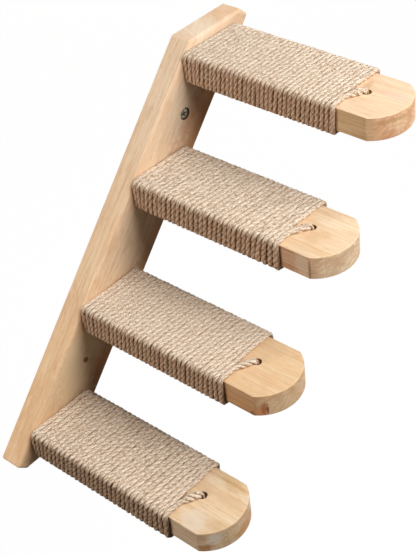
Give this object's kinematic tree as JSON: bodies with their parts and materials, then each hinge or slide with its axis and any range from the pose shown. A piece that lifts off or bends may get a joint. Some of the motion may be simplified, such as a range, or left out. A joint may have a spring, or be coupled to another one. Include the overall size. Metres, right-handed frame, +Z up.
{
  "type": "wall-mounted cat ladder",
  "caption": "Wall-mounted wooden cat ladder: a slanting rail carries level step boards with curved noses, each wound with jute rope from the rail outwards.",
  "frame": {"origin": "middle of the rail's flat back face, which lies on the wall", "axes": "+Z up, +Y into the wall, -Y out into the room along the steps; the rail leans towards +X as it rises"},
  "size_m": [0.4176, 0.2916, 0.357],
  "materials": {
    "rail_wood": "clear matt lacquer on rubberwood",
    "step_wood": "clear matt lacquer on rubberwood",
    "dowel_wood": "bare beech",
    "jute": "twisted natural jute",
    "screw_steel": "zinc plated",
    "wall_screw_steel": "zinc plated"
  },
  "bodies": {
    "root": {"rail": "rail_wood", "step_board_1": "step_wood", "step_board_2": "step_wood", "step_board_3": "step_wood", "step_board_4": "step_wood", "jute_wrap_1": "jute", "jute_wrap_2": "jute", "jute_wrap_3": "jute", "jute_wrap_4": "jute", "step_screws": "screw_steel", "step_dowels": "dowel_wood", "wall_screw": "wall_screw_steel"}
  },
  "joints": []
}
